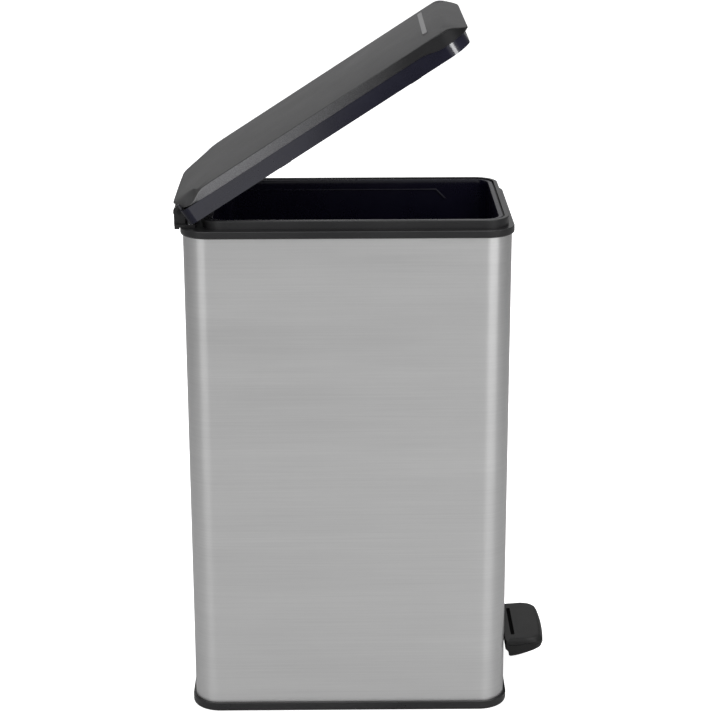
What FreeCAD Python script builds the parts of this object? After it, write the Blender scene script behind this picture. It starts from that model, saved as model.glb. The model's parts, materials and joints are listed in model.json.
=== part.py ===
import FreeCAD, Part
import os
import re

import Sketcher

# Pedal trash can: a brushed steel shell on a black tray, a rim with a collar, a lift-out bucket,
# a two-piece hinged lid, and a foot pedal whose lever lifts the lid through a push rod.
# Frame: +Z up, the pedal towards -Y, the lid's hinge at +Y, X across the width.
# The origin is the middle of the base's underside. Millimetres.
# The lid stands open by lid_open degrees and the pedal is part way down to match.

DIMENSIONS = [
    # overall sizes
    ("body_depth", 400, "steel shell, front to rear, outside"),
    ("body_width", 255, "steel shell, side to side, outside"),
    ("body_corner", 33, "steel shell, outside corner radius"),
    ("steel_wall", 0.8, "sheet thickness"),
    ("shell_top", 633, "upper edge of the steel, inside the rim"),
    ("gap", 0.3, "clearance between pieces that seat in each other"),
    # base tray
    ("base_flare", 3.5, "how far the tray stands out from the steel"),
    ("base_height", 12, "height of the tray's outer wall"),
    ("base_floor", 3, "tray floor"),
    ("base_lip", 18, "height of the wall inside the steel"),
    ("lip_wall", 2.5, "thickness of the wall inside the steel"),
    ("foot_radius", 11, "rubber foot"),
    ("foot_depth", 1.6, "rubber foot, let in flush"),
    # rim
    ("rim_flare", 3, "how far the rim's band stands out from the steel"),
    ("band_drop", 7, "lower edge of the band, below shell_top"),
    ("ledge_rise", 2.6, "top of the band, where the lid rests, above shell_top"),
    ("skirt_drop", 21, "lower edge of the skirt inside the steel, below shell_top"),
    ("deck_wall", 3, "thickness of the rim's top deck"),
    ("collar_rise", 11.4, "top of the collar above the ledge"),
    ("collar_inset", 4.2, "collar's outside face, in from the steel's outside"),
    ("collar_wall", 5, "thickness of the collar above the bucket's seat"),
    ("seat_drop", 4, "seat of the bucket's flange, below the collar's top"),
    ("seat_width", 4.5, "width of the seat"),
    ("hinge_bay", 20, "collar's rear face, in from the steel's rear, beyond collar_inset"),
    # bucket
    ("bucket_wall", 2, "bucket wall"),
    ("bucket_floor", 2.5, "bucket floor"),
    ("bucket_bottom", 88, "underside of the bucket"),
    ("bucket_draft", 8, "how far each wall leans in over the bucket's height"),
    ("flange_thick", 3, "bucket flange"),
    # lid; a rise is a height above the ledge with the lid shut
    ("hinge_out", 3, "hinge axis, out from the steel's rear"),
    ("hinge_rise", 18.4, "hinge axis"),
    ("lid_open", 32.8, "opening of the lid at rest, degrees"),
    ("lid_travel", 75, "closed to fully open, degrees"),
    ("lid_rest", 0.6, "lower edge of the liner"),
    ("liner_rise", 20.4, "upper edge of the liner's side walls"),
    ("ceiling_rise", 14.4, "underside of the liner's ceiling"),
    ("liner_inset", 0.5, "liner's side face, in from the steel's outside"),
    ("liner_rear", 1.5, "liner's rear face, in from the steel's rear"),
    ("liner_corner", 30, "liner's front corners"),
    ("liner_rear_corner", 12, "liner's rear corners"),
    ("lid_wall", 2.5, "wall of the liner and cover"),
    ("front_rise", 15.3, "lower edge of the cover at the front"),
    ("side_rise", 20.9, "lower edge of the cover along the sides"),
    ("rear_rise", 28.4, "lower edge of the cover at the rear"),
    ("nose_rise", 19.4, "foot of the cover's front slope"),
    ("brow_rise", 32.4, "top of the cover's side faces"),
    ("top_rise", 36.4, "top of the cover"),
    ("cover_overhang", 3, "cover beyond the steel at the sides"),
    ("cover_reach", 7, "cover beyond the steel at the front"),
    ("cover_tail", 8, "cover beyond the steel at the rear"),
    ("cover_slope", 21, "run of the front slope, front to rear"),
    ("lip_drop", 28, "length of the low front lip of the cover"),
    ("inlay_length", 176, "inlay strip, side to side"),
    ("inlay_width", 6, "inlay strip, front to rear"),
    ("inlay_inset", 40, "inlay strip's middle, in from the steel's front"),
    ("inlay_depth", 1.2, "inlay strip, thickness"),
    # hinge
    ("hinge_inset", 39.5, "middle of each hinge, in from the steel's side"),
    ("pin_radius", 3, "hinge pins and rod pin"),
    ("running", 0.05, "radial clearance of a running fit"),
    ("ear_radius", 7.5, "bracket ears"),
    ("ear_wall", 5, "thickness of a bracket ear"),
    ("knuckle_width", 18, "lid knuckle between the ears"),
    ("knuckle_radius", 7, "lid knuckle"),
    ("bracket_width", 38, "hinge bracket, side to side"),
    ("bracket_plate", 3.4, "hinge bracket's plate"),
    ("bracket_reach", 9, "hinge bracket beyond the steel's rear"),
    ("apron_drop", 2, "hinge bracket's apron behind the band, below the ledge"),
    ("damper_length", 20, "rotary damper"),
    ("damper_radius", 6.5, "rotary damper"),
    # lift
    ("rod_inset", 15, "push rod, in from the steel's rear"),
    ("rod_width", 12, "push rod strip, X"),
    ("rod_thick", 4, "push rod strip, Y"),
    ("striker_arm", 20, "hinge axis to the striker's nose"),
    ("nose_radius", 3, "striker's nose"),
    ("lift_gap", 0.6, "push rod's cap below the nose with the lid shut"),
    ("cap_thick", 4, "push rod's cap"),
    ("cap_length", 12, "push rod's cap, Y"),
    ("cap_width", 18, "push rod's cap, X"),
    ("guide_low", 150, "lower rod guide, Z"),
    ("guide_drop", 113, "upper rod guide, below shell_top"),
    ("guide_height", 22, "rod guides"),
    # lever
    ("pivot_rear", 40, "lever pivot, Y"),
    ("pivot_level", 50, "lever pivot, Z"),
    ("pivot_pin", 4, "pivot pin radius"),
    ("bush_radius", 6, "bush outside radius"),
    ("spring_radius", 8.5, "lever spring, middle of the wire"),
    ("spring_wire", 0.8, "lever spring, wire radius"),
    ("spring_pitch", 2.2, "lever spring, pitch"),
    ("spring_turns", 6, "lever spring, turns"),
    ("rod_rise", 18.6615, "push rod's rise over one radian of the lid's turn"),
    ("level_open", 32.8, "lid opening at which the lever lies level, degrees"),
    ("lever_width", 44, "lever channel, X"),
    ("lever_wall", 2, "lever channel sheet"),
    ("lever_rise", 8, "lever's top above the pivot"),
    ("lever_out", 40, "lever's front end, out from the steel"),
    ("lever_neck", 4, "lever's underside at the slot, below the pivot"),
    ("lever_depth", 10, "lever's underside at the pivot, below the pivot"),
    ("foot_height", 22, "rod foot"),
    ("foot_width", 16, "rod foot, X"),
    ("foot_length", 14, "rod foot, Y"),
    ("foot_slack", 1.0, "rod foot's slot, front and rear of the pin"),
    # pedal slot
    ("slot_clear", 5, "slot in the steel, beyond each side of the lever"),
    ("slot_bottom", 19, "slot in the steel, lower edge"),
    ("slot_top", 80, "slot in the steel, upper edge"),
    ("bezel_rim", 6, "bezel round the slot, width"),
    ("bezel_proud", 2, "bezel round the slot, thickness outside the steel"),
    # pedal
    ("pedal_width", 118, "pedal, side to side"),
    ("pedal_start", 6, "pedal's inner edge, out from the steel"),
    ("pedal_reach", 58, "pedal's outer edge, out from the steel"),
    ("pedal_wall", 2.5, "pedal wall"),
    ("pedal_corner", 16, "pedal's outer corners"),
    ("groove_width", 5, "groove across the pedal"),
    ("groove_length", 84, "groove across the pedal, X"),
    ("groove_out", 16.5, "groove, out from the steel"),
    ("groove_depth", 2, "groove across the pedal"),
]

# Places that follow from the sizes above.
DERIVED = {
    "rim_bottom": "shell_top-band_drop",
    "ledge": "shell_top+ledge_rise",
    "rim_skirt": "shell_top-skirt_drop",
    "collar_top": "ledge+collar_rise",
    "seat_level": "collar_top-seat_drop",
    "hinge_rear": "body_depth/2+hinge_out",
    "hinge_level": "ledge+hinge_rise",
    "hinge_side": "body_width/2-hinge_inset",
    "liner_bottom": "ledge+lid_rest",
    "liner_top": "ledge+liner_rise",
    "liner_ceiling": "ledge+ceiling_rise",
    "cover_front_edge": "ledge+front_rise",
    "cover_side_edge": "ledge+side_rise",
    "cover_rear_edge": "ledge+rear_rise",
    "cover_nose": "ledge+nose_rise",
    "cover_brow": "ledge+brow_rise",
    "cover_top": "ledge+top_rise",
    "inlay_front": "body_depth/2-inlay_inset",
    "rod_rear": "body_depth/2-rod_inset",
    "lever_front": "body_depth/2+lever_out",
    "lever_ratio": "rod_rise/(rod_rear-pivot_rear)",
    "slot_width": "lever_width+2*slot_clear",
}
NAME = r"[a-z]+(?:_[a-z]+)*"
LOOSE = 0.01
RIGHT_ANGLE = 1.5707963267948966
doc = FreeCAD.newDocument("pedal_trash_can")
dims = doc.addObject("Spreadsheet::Sheet", "dims")
for row, (alias, value, meaning) in enumerate(DIMENSIONS, start=1):
    dims.set(f"A{row}", meaning)
    dims.set(f"B{row}", str(value))
    dims.setAlias(f"B{row}", alias)
doc.recompute()
ALIASES = {alias for alias, _, _ in DIMENSIONS}
PARTS = []


def written_out(formula):
    """The formula with each derived place put in terms of the sheet's own names."""
    longer = re.sub(NAME, lambda m: f"({DERIVED[m[0]]})" if m[0] in DERIVED else m[0], formula)
    return longer if longer == formula else written_out(longer)


def linked(formula):
    """A formula on the sheet's names, as an expression of another object: body_depth -> dims.body_depth."""
    return re.sub(NAME, lambda m: "dims." + m[0] if m[0] in ALIASES else m[0], written_out(formula))


def size(formula):
    """The number that a formula on the sheet's names has now."""
    return float(dims.evalExpression(written_out(formula)))


def bind(thing, **formulas):
    """Tie properties to formulas; a double underscore stands for a dot."""
    for name, formula in formulas.items():
        thing.setExpression(name.replace("__", "."), linked(formula))
    return thing


def keep(thing, label):
    """Name a finished sub-part and list it for export."""
    thing.Label = label
    PARTS.append(thing)
    return thing


# ---- where the moving groups stand -------------------------------------------------------------
FIXED = ("0", "0", "0", None)
ON_LID = ("0", "hinge_rear", "hinge_level", "-lid_open")
ON_LEVER = ("0", "pivot_rear", "pivot_level", "lever_ratio*(lid_open-level_open)")
ROD_LIFT = "(rod_rear-pivot_rear)*lever_ratio*pi/180*(lid_open-level_open)"
ON_ROD = ("0", "rod_rear", "pivot_level+" + ROD_LIFT, None)


def stand(thing, group):
    """Put a piece in its group's frame; a turned group's frame is on its axis."""
    x, y, z, turn = group
    if turn:
        thing.Placement = FreeCAD.Placement(FreeCAD.Vector(), FreeCAD.Rotation(FreeCAD.Vector(1, 0, 0), 10))
        bind(thing, Placement__Rotation__Angle=turn)
    return bind(thing, Placement__Base__x=x, Placement__Base__y=y, Placement__Base__z=z)


def body(label, group=FIXED):
    return keep(stand(doc.addObject("PartDesign::Body", label), group), label)


def sketch(owner, plane="XY_Plane", x="0", y="0", z="0"):
    """An empty sketch on one of the body's own planes, moved along that plane's own axes."""
    drawn = owner.newObject("Sketcher::SketchObject", owner.Name + "_sketch")
    support = next(feature for feature in owner.Origin.OriginFeatures if feature.Role == plane)
    drawn.AttachmentSupport = [(support, "")]
    drawn.MapMode = "FlatFace"
    return bind(drawn, AttachmentOffset__Base__x=x, AttachmentOffset__Base__y=y, AttachmentOffset__Base__z=z)


def draw_box(drawn, width, height, corner=None, rear_corner=None):
    """A rectangle about the sketch's origin; corner rounds its lower two corners, rear_corner the others."""
    half_w = size(width) / 2
    half_h = size(height) / 2
    points = [(half_w, -half_h), (half_w, half_h), (-half_w, half_h), (-half_w, -half_h)]
    rear_corner = rear_corner or corner
    radii = [corner, rear_corner, rear_corner, corner]
    lines = []
    for index, (px, py) in enumerate(points):
        qx, qy = points[(index + 1) % 4]
        start = size(radii[index]) if corner else 0
        end = size(radii[(index + 1) % 4]) if corner else 0
        length = max(abs(qx - px), abs(qy - py))
        ux, uy = (qx - px) / length, (qy - py) / length
        first = FreeCAD.Vector(px + ux * start, py + uy * start, 0)
        last = FreeCAD.Vector(qx - ux * end, qy - uy * end, 0)
        lines.append(drawn.addGeometry(Part.LineSegment(first, last), False))
    rules = []
    for index, line in enumerate(lines):
        rules.append(Sketcher.Constraint("Horizontal" if index % 2 else "Vertical", line))
        following = lines[(index + 1) % 4]
        if not corner:
            rules.append(Sketcher.Constraint("Coincident", line, 2, following, 1))
            continue
        px, py = points[(index + 1) % 4]
        radius = size(radii[(index + 1) % 4])
        centre = FreeCAD.Vector(px - sign(px) * radius, py - sign(py) * radius, 0)
        turn = index * 90
        circle = Part.Circle(centre, FreeCAD.Vector(0, 0, 1), radius)
        arc = Part.ArcOfCircle(circle, RIGHT_ANGLE / 90 * turn, RIGHT_ANGLE / 90 * (turn + 90))
        arc = drawn.addGeometry(arc, False)
        rules.append(Sketcher.Constraint("Tangent", line, 2, arc, 1))
        rules.append(Sketcher.Constraint("Tangent", arc, 2, following, 1))
        name = f"round_{len(drawn.Constraints)}_{index}"
        rules.append((name, Sketcher.Constraint("Radius", arc, radius), radii[(index + 1) % 4]))
    rules.append(("right", Sketcher.Constraint("DistanceX", -1, 1, lines[0], 1, half_w), f"({width})/2"))
    rules.append(("left", Sketcher.Constraint("DistanceX", lines[2], 1, -1, 1, half_w), f"({width})/2"))
    rules.append(("rear", Sketcher.Constraint("DistanceY", -1, 1, lines[1], 1, half_h), f"({height})/2"))
    rules.append(("front", Sketcher.Constraint("DistanceY", lines[3], 1, -1, 1, half_h), f"({height})/2"))
    for rule in rules:
        if isinstance(rule, tuple):
            name, constraint, formula = rule
            index = drawn.addConstraint(constraint)
            drawn.setExpression(f"Constraints[{index}]", linked(formula))
        else:
            drawn.addConstraint(rule)
    return drawn


def draw_path(drawn, points):
    """A closed outline through (x, y) formulas, each corner held by its two distances."""
    places = [(size(x), size(y)) for x, y in points]
    lines = []
    for index, (px, py) in enumerate(places):
        qx, qy = places[(index + 1) % len(places)]
        lines.append(drawn.addGeometry(Part.LineSegment(FreeCAD.Vector(px, py, 0), FreeCAD.Vector(qx, qy, 0))))
    for index, line in enumerate(lines):
        drawn.addConstraint(Sketcher.Constraint("Coincident", line, 2, lines[(index + 1) % len(lines)], 1))
        for kind, value, formula in zip(("DistanceX", "DistanceY"), places[index], points[index]):
            rule = drawn.addConstraint(Sketcher.Constraint(kind, -1, 1, line, 1, value))
            drawn.setExpression(f"Constraints[{rule}]", linked(formula))
    return drawn


def draw_hole(drawn, x, y, radius):
    """A circle at (x, y)."""
    centre = FreeCAD.Vector(size(x), size(y), 0)
    circle = drawn.addGeometry(Part.Circle(centre, FreeCAD.Vector(0, 0, 1), size(radius)), False)
    for kind, value in (("DistanceX", x), ("DistanceY", y)):
        rule = drawn.addConstraint(Sketcher.Constraint(kind, -1, 1, circle, 3, size(value)))
        drawn.setExpression(f"Constraints[{rule}]", linked(value))
    rule = drawn.addConstraint(Sketcher.Constraint("Radius", circle, size(radius)))
    drawn.setExpression(f"Constraints[{rule}]", linked(radius))
    return drawn


def pad(owner, drawn, length, both=False, back=False):
    """Thicken a sketch along its normal, to both sides of it, or backwards."""
    feature = owner.newObject("PartDesign::Pad", owner.Name + "_pad")
    feature.Profile = drawn
    feature.Midplane = both
    feature.Reversed = back
    return bind(feature, Length=length)


def cut(owner, drawn, length, both=False, back=False):
    """Sink a sketch against its normal, to both sides of it, or along the normal."""
    feature = owner.newObject("PartDesign::Pocket", owner.Name + "_cut")
    feature.Profile = drawn
    feature.Midplane = both
    feature.Reversed = back
    return bind(feature, Length=length)


def loft(owner, kind, sections):
    """A ruled loft through sections, each (z, y, width, height, corner, rear corner)."""
    drawn = []
    for z, y, width, height, corner, rear in sections:
        drawn.append(draw_box(sketch(owner, y=y, z=z), width, height, corner, rear))
    feature = owner.newObject(f"PartDesign::{kind}Loft", owner.Name + "_loft")
    feature.Profile = drawn[0]
    feature.Sections = drawn[1:]
    feature.Ruled = True
    return feature


def soften(owner, radius, chosen):
    """Round the edges of the body that the test chooses; the test reads an edge in the body's frame."""
    doc.recompute()
    tip = owner.Tip
    names = [f"Edge{i}" for i, edge in enumerate(tip.Shape.Edges, start=1) if chosen(edge)]
    feature = owner.newObject("PartDesign::Fillet", owner.Name + "_round")
    feature.Base = (tip, names)
    return bind(feature, Radius=radius)


def level(edge, formula):
    """Whether an edge lies flat at a height."""
    box = edge.BoundBox
    height = size(formula)
    return abs(box.ZMin - height) < LOOSE and abs(box.ZMax - height) < LOOSE


def block(x, y, z, length, width, height, group=FIXED):
    """A box by its middle in X and its lowest Y and Z, in its group's frame."""
    made = doc.addObject("Part::Box", "block")
    bind(made, Length=length, Width=width, Height=height)
    return bind(made, Placement__Base__x=f"{x}-({length})/2", Placement__Base__y=y, Placement__Base__z=z)


def rod(x, y, z, radius, length, along="x"):
    """A cylinder from (x, y, z) along +X or +Z."""
    made = doc.addObject("Part::Cylinder", "rod")
    if along == "x":
        made.Placement.Rotation = FreeCAD.Rotation(FreeCAD.Vector(0, 1, 0), 90)
    bind(made, Radius=radius, Height=length)
    return bind(made, Placement__Base__x=x, Placement__Base__y=y, Placement__Base__z=z)


def union(*pieces):
    made = doc.addObject("Part::MultiFuse", "union")
    made.Shapes = list(pieces)
    return made


def minus(base, *tools):
    made = doc.addObject("Part::Cut", "minus")
    made.Base = base
    made.Tool = tools[0] if len(tools) == 1 else union(*tools)
    return made


def group_of(*pieces):
    """Separate solids in one sub-part."""
    made = doc.addObject("Part::Compound", "group")
    made.Links = list(pieces)
    return made


def sign(value):
    return 1 if value > 0 else -1


# ---- base tray ---------------------------------------------------------------------------------
def base_tray():
    tray = body("base_tray")
    pad(tray, draw_box(sketch(tray), "body_width+2*base_flare", "body_depth+2*base_flare",
                       "body_corner+base_flare"), "base_height")
    soften(tray, "base_flare", lambda edge: level(edge, "0"))
    soften(tray, "base_flare/4", lambda edge: level(edge, "base_height"))
    inside = "body_{}-2*steel_wall-2*gap"
    pad(tray, draw_box(sketch(tray), inside.format("width"), inside.format("depth"),
                       "body_corner-steel_wall-gap"), "base_lip")
    channel = sketch(tray, z="base_lip")
    draw_box(channel, "body_width+2*gap", "body_depth+2*gap", "body_corner+gap")
    draw_box(channel, inside.format("width"), inside.format("depth"), "body_corner-steel_wall-gap")
    cut(tray, channel, "base_lip-base_floor")
    hollow = "body_{}-2*steel_wall-2*gap-2*lip_wall"
    cut(tray, draw_box(sketch(tray, z="base_lip"), hollow.format("width"), hollow.format("depth"),
                       "body_corner-steel_wall-gap-lip_wall"), "base_lip-base_floor")
    feet = sketch(tray, z="0")
    for x, y in FEET:
        draw_hole(feet, x, y, "foot_radius")
    cut(tray, feet, "foot_depth", back=True)


FEET = [(f"{sx}(body_width/2-body_corner)", f"{sy}(body_depth/2-body_corner)")
        for sx in ("-", "") for sy in ("-", "")]


def rubber_feet():
    feet = [rod(x, y, "0", "foot_radius", "foot_depth", "z") for x, y in FEET]
    keep(group_of(*feet), "rubber_feet")


# ---- steel shell -------------------------------------------------------------------------------
def outer_shell():
    shell = body("outer_shell")
    ring = sketch(shell, z="base_floor")
    draw_box(ring, "body_width", "body_depth", "body_corner")
    draw_box(ring, "body_width-2*steel_wall", "body_depth-2*steel_wall", "body_corner-steel_wall")
    pad(shell, ring, "shell_top-base_floor")
    slot = draw_box(sketch(shell, "XZ_Plane", y="(slot_bottom+slot_top)/2", z="body_depth/2+1"),
                    "slot_width", "slot_top-slot_bottom", "3")
    cut(shell, slot, "steel_wall+2")


def slot_bezel():
    bezel = body("slot_bezel")
    middle = "(slot_bottom+slot_top)/2"
    tall = "slot_top-slot_bottom"
    front = sketch(bezel, "XZ_Plane", y=middle, z="body_depth/2")
    draw_box(front, "slot_width+2*bezel_rim", f"{tall}+2*bezel_rim", "8")
    draw_box(front, "slot_width-2*bezel_proud", f"{tall}-2*bezel_proud", "3")
    pad(bezel, front, "bezel_proud")
    throat = sketch(bezel, "XZ_Plane", y=middle, z="body_depth/2")
    draw_box(throat, "slot_width-2*gap", f"{tall}-2*gap", "3")
    draw_box(throat, "slot_width-2*bezel_proud", f"{tall}-2*bezel_proud", "3")
    pad(bezel, throat, "steel_wall+2", back=True)


# ---- rim ---------------------------------------------------------------------------------------
COLLAR_REAR = "(body_depth/2-collar_inset-hinge_bay)"
COLLAR_FRONT = "(body_depth/2-collar_inset)"


def draw_collar(owner, z, inset, corner="body_corner-collar_inset"):
    """The collar's plan, shorter at the rear for the hinge bay, moved in by inset all round."""
    drawn = sketch(owner, y=f"({COLLAR_REAR}-{COLLAR_FRONT})/2", z=z)
    draw_box(drawn, f"body_width-2*collar_inset-2*({inset})",
             f"{COLLAR_REAR}+{COLLAR_FRONT}-2*({inset})", f"{corner}-({inset})")
    return drawn


def rim():
    ring = body("rim")
    pad(ring, draw_box(sketch(ring, z="rim_bottom"), "body_width+2*rim_flare", "body_depth+2*rim_flare",
                       "body_corner+rim_flare"), "ledge-rim_bottom")
    soften(ring, "rim_flare-gap", lambda edge: level(edge, "rim_bottom"))
    soften(ring, "rim_flare/3", lambda edge: level(edge, "ledge"))
    pad(ring, draw_collar(ring, "ledge-1", "0"), "collar_top-ledge+1")
    soften(ring, "collar_wall/4", lambda edge: level(edge, "collar_top"))
    inside = "body_{}-2*steel_wall-2*gap"
    pad(ring, draw_box(sketch(ring, z="rim_skirt"), inside.format("width"), inside.format("depth"),
                       "body_corner-steel_wall-gap"), "rim_bottom-rim_skirt+1")
    groove = sketch(ring, z="shell_top")
    draw_box(groove, "body_width+2*gap", "body_depth+2*gap", "body_corner+gap")
    draw_box(groove, inside.format("width"), inside.format("depth"), "body_corner-steel_wall-gap")
    cut(ring, groove, "shell_top-rim_skirt")
    under = "body_{}-2*steel_wall-2*gap-2*lip_wall"
    cut(ring, draw_box(sketch(ring, z="ledge-deck_wall"), under.format("width"), under.format("depth"),
                       "body_corner-steel_wall-gap-lip_wall"), "ledge-deck_wall-rim_skirt")
    cut(ring, draw_collar(ring, "collar_top", "collar_wall"), "collar_top-seat_level")
    cut(ring, draw_collar(ring, "collar_top", "collar_wall+seat_width"), "collar_top-rim_skirt")
    cut(ring, draw_box(sketch(ring, y="rod_rear", z="ledge"), "cap_width+4", "cap_length+2", "2"),
        "deck_wall")
    cut(ring, draw_screws(sketch(ring, z="ledge")), "deck_wall")


HINGE_SCREWS = [(f"{side}hinge_side{hand}bracket_width/2{back}4.5", "rod_rear+4.5")
                for side, hand, back in (("", "+", "-"), ("", "-", "+"), ("-", "+", "-"), ("-", "-", "+"))]


def draw_screws(drawn):
    for x, y in HINGE_SCREWS:
        draw_hole(drawn, x, y, "2")
    return drawn


def hinge_screws():
    screws = []
    for x, y in HINGE_SCREWS:
        shank = rod(x, y, "ledge-deck_wall-2", "2", "deck_wall+bracket_plate+2", "z")
        head = rod(x, y, "ledge+bracket_plate", "3.6", "1.8", "z")
        screws.append(union(shank, head))
    keep(group_of(*screws), "hinge_screws")


# ---- hinge -------------------------------------------------------------------------------------
def hinge_bracket(label, side):
    """Plate on the rim's deck, an apron behind the band, and two ears round the pin."""
    middle = f"{side}hinge_side"
    reach = "body_depth/2+bracket_reach"
    plate = block(middle, "rod_rear-1", "ledge", "bracket_width", f"{reach}-rod_rear+1", "bracket_plate")
    apron = block(middle, "body_depth/2+rim_flare+gap", "ledge-apron_drop", "bracket_width",
                  "bracket_reach-rim_flare-gap", "apron_drop+1")
    pieces = [plate, apron]
    for hand in ("-(knuckle_width/2+0.4+ear_wall)", "+knuckle_width/2+0.4"):
        start = f"{middle}{hand}"
        pieces.append(rod(start, "hinge_rear", "hinge_level", "ear_radius", "ear_wall"))
        pieces.append(block(f"{start}+ear_wall/2", "hinge_rear-ear_radius+0.8", "ledge+1", "ear_wall",
                            "2*ear_radius-1.6", "hinge_level-ledge-1"))
    holes = [rod(f"{middle}-bracket_width", "hinge_rear", "hinge_level", "pin_radius", "2*bracket_width")]
    for x, y in HINGE_SCREWS:
        holes.append(rod(x, y, "ledge-1", "2", "bracket_plate+2", "z"))
    keep(minus(union(*pieces), *holes), label)


def hinge_pin(label, side):
    """Pin through both ears, with a longer inboard end that carries the damper."""
    outer = "knuckle_width/2+0.4+ear_wall+1"
    inner = "knuckle_width/2+0.4+ear_wall+damper_length+1"
    start = f"hinge_side-({inner})" if not side else f"-hinge_side-({outer})"
    keep(rod(start, "hinge_rear", "hinge_level", "pin_radius", f"{outer}+{inner}"), label)


def lid_damper(label, side):
    """Barrel on the pin's inboard end, with a flat that rests on the bracket's ear."""
    near = "hinge_side-knuckle_width/2-0.4-ear_wall-damper_length"
    start = near if not side else "-(hinge_side-knuckle_width/2-0.4-ear_wall)"
    barrel = rod(start, "hinge_rear", "hinge_level", "damper_radius", "damper_length")
    bore = rod(start, "hinge_rear", "hinge_level", "pin_radius", "damper_length")
    keep(minus(barrel, bore), label)


# ---- bucket ------------------------------------------------------------------------------------
def inner_bucket():
    bucket = body("inner_bucket")
    shift = f"({COLLAR_REAR}-{COLLAR_FRONT})/2"
    inset = "collar_wall+seat_width+1"
    width = f"body_width-2*collar_inset-2*({inset})"
    depth = f"{COLLAR_REAR}+{COLLAR_FRONT}-2*({inset})"
    corner = f"body_corner-collar_inset-({inset})"
    loft(bucket, "Additive", [
        ("bucket_bottom", shift, f"{width}-2*bucket_draft", f"{depth}-2*bucket_draft", corner, None),
        ("seat_level", shift, width, depth, corner, None)])
    pad(bucket, draw_collar(bucket, "seat_level", "collar_wall+2"), "flange_thick")
    inside = "-2*bucket_wall"
    loft(bucket, "Subtractive", [
        ("bucket_bottom+bucket_floor", shift, f"{width}-2*bucket_draft{inside}",
         f"{depth}-2*bucket_draft{inside}", f"{corner}-bucket_wall", None),
        ("seat_level", shift, width + inside, depth + inside, f"{corner}-bucket_wall", None)])
    cut(bucket, draw_collar(bucket, "seat_level+flange_thick", f"{inset}+bucket_wall"), "flange_thick")


# ---- lid ---------------------------------------------------------------------------------------
LINER_DEPTH = "body_depth-liner_rear"
LINER_WIDTH = "body_width-2*liner_inset"


def lid_height(z):
    return f"{z}-hinge_level"


def lid_place(y):
    return f"{y}-hinge_rear"


def lid_liner():
    liner = body("lid_liner", ON_LID)
    middle = lid_place("-liner_rear/2")
    outer = (LINER_WIDTH, LINER_DEPTH, "liner_corner", "liner_rear_corner")
    inner = (f"{LINER_WIDTH}-2*lid_wall", f"{LINER_DEPTH}-2*lid_wall", "liner_corner-lid_wall",
             "liner_rear_corner-lid_wall")
    pad(liner, draw_box(sketch(liner, y=middle, z=lid_height("liner_bottom")), *outer),
        "liner_top-liner_bottom")
    cut(liner, draw_box(sketch(liner, y=middle, z=lid_height("liner_ceiling")), *inner),
        "liner_ceiling-liner_bottom")
    cut(liner, draw_box(sketch(liner, y=middle, z=lid_height("liner_top")), *inner),
        "liner_top-liner_ceiling-lid_wall")
    low_lip = sketch(liner, y=lid_place("-body_depth/2+lip_drop/2-10"), z=lid_height("liner_top"))
    cut(liner, draw_box(low_lip, "body_width+20", "lip_drop+20"), "liner_top-cover_front_edge+gap")
    plate_front = "(body_depth/2-lid_wall+gap)"
    plate_rear = "(body_depth/2-lip_drop-4)"
    ceiling = sketch(liner, y=lid_place(f"-({plate_front}+{plate_rear})/2"), z=lid_height("liner_ceiling+0.8"))
    pad(liner, draw_box(ceiling, f"{LINER_WIDTH}-2*lid_wall+2*gap", f"{plate_front}-{plate_rear}",
                        "liner_corner-lid_wall+gap", "3"), "lid_wall+0.8", back=True)
    rear_wall = sketch(liner, y=lid_place("body_depth/2-liner_rear-lid_wall/2"), z=lid_height("liner_top-1"))
    pad(liner, draw_box(rear_wall, f"{LINER_WIDTH}-2*liner_rear_corner-4", "lid_wall-0.4"),
        "cover_rear_edge-liner_top+0.5")
    notches = sketch(liner, z=lid_height("cover_rear_edge"), y="0")
    inboard = "hinge_side-knuckle_width/2-ear_wall-damper_length-2.5"
    outboard = "hinge_side+bracket_width/2+1.5"
    for near, far in ((f"-({outboard})", f"-({inboard})"), ("-cap_width/2-3", "cap_width/2+3"),
                      (inboard, outboard)):
        draw_path(notches, [(near, "-9.5"), (far, "-9.5"), (far, "6"), (near, "6")])
    cut(liner, notches, "cover_rear_edge-liner_bottom")
    for side in ("-", ""):
        barrel = sketch(liner, "YZ_Plane", z=f"{side}hinge_side")
        pad(liner, draw_hole(barrel, "0", "0", "knuckle_radius"), "knuckle_width", both=True)
        web = sketch(liner, "YZ_Plane", z=f"{side}hinge_side")
        draw_path(web, [("-12", lid_height("liner_ceiling")), ("0", lid_height("liner_ceiling")),
                        ("0", "3"), ("-12", lid_height("liner_ceiling+lid_wall"))])
        pad(liner, web, "knuckle_width", both=True)
    bores = sketch(liner, "YZ_Plane", z="0")
    cut(liner, draw_hole(bores, "0", "0", "pin_radius+running"), "body_width-20", both=True)
    for feature in liner.Group:
        if hasattr(feature, "Refine"):
            feature.Refine = False


def cover_section(z, inset, height=None):
    """Plan of the cover at a named height, moved in by inset: (z, y, width, depth, corner, rear corner)."""
    shapes = {
        "lip": ("4", "2", "0", "liner_corner+1", "20"),
        "nose": ("cover_reach", "cover_tail", "cover_overhang-1", "body_corner", "22"),
        "brow": ("cover_reach-cover_slope", "cover_tail-2", "cover_overhang", "body_corner-9", "22"),
        "top": ("cover_reach-cover_slope-14", "cover_tail-22", "-14", "18", "22")}
    front, rear, side, corner, rear_corner = shapes[z]
    levels = {"lip": "cover_front_edge", "nose": "cover_nose", "brow": "cover_brow", "top": "cover_top"}
    return (lid_height(height or levels[z]), lid_place(f"(({rear})-({front}))/2"),
            f"body_width+2*({side})-2*({inset})", f"body_depth+({front})+({rear})-2*({inset})",
            f"{corner}-({inset})*0.9", f"{rear_corner}-({inset})*0.9")


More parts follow.
